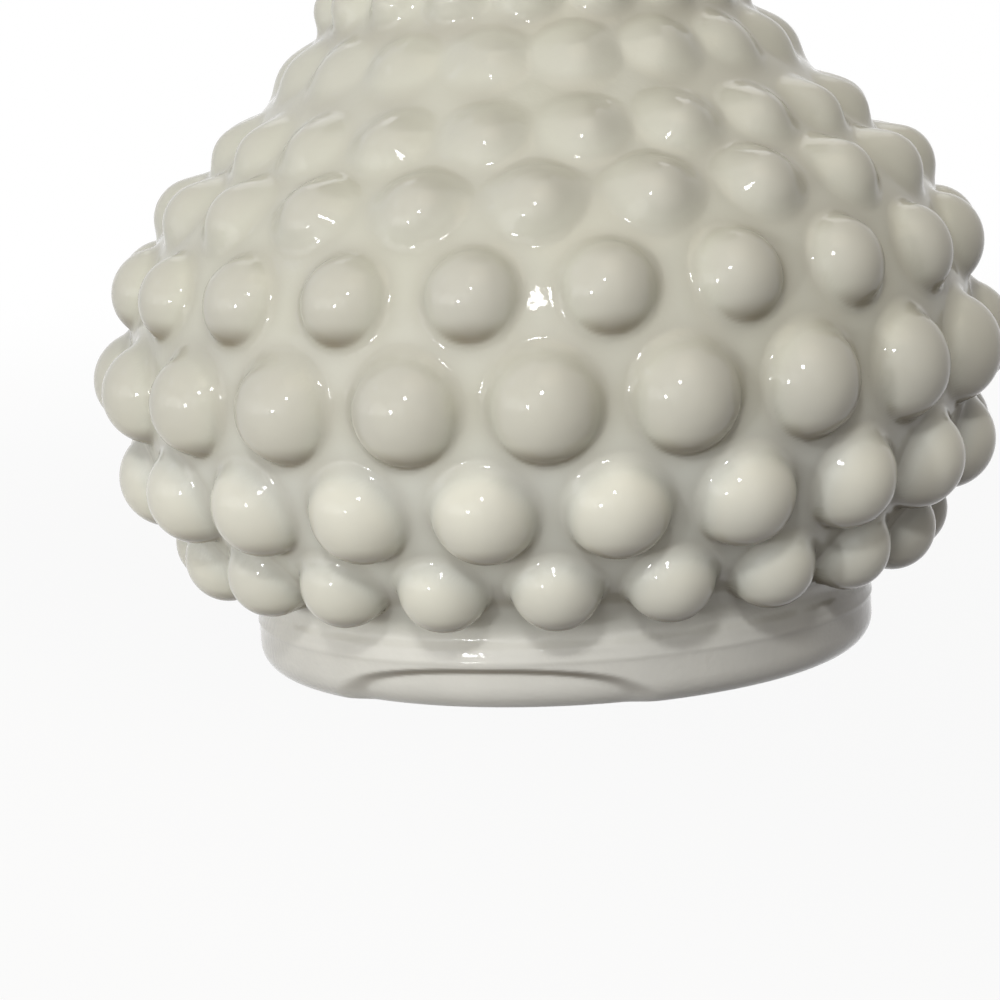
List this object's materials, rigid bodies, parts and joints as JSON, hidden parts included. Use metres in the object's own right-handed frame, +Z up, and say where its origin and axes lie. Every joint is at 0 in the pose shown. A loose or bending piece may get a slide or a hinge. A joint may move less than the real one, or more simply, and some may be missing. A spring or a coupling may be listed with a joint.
{
  "type": "vase",
  "caption": "Squat hobnail vase in opaque white pressed glass, with a collar foot, round bowl, narrow neck and crimped flared mouth.",
  "frame": {"origin": "centre of the foot on the surface that the vase stands on", "axes": "+Z up along the vase's axis; -Y is the front, which the picture shows; +X is to the right seen from the front"},
  "size_m": [0.0968, 0.0964, 0.127],
  "materials": {
    "milk_glass": "opaque white opal glass, fire polished to a high gloss"
  },
  "bodies": {
    "root": {"foot_ring": "milk_glass", "well_floor": "milk_glass", "lower_bowl": "milk_glass", "belly": "milk_glass", "shoulder": "milk_glass", "neck": "milk_glass", "crimped_mouth": "milk_glass"}
  },
  "joints": []
}
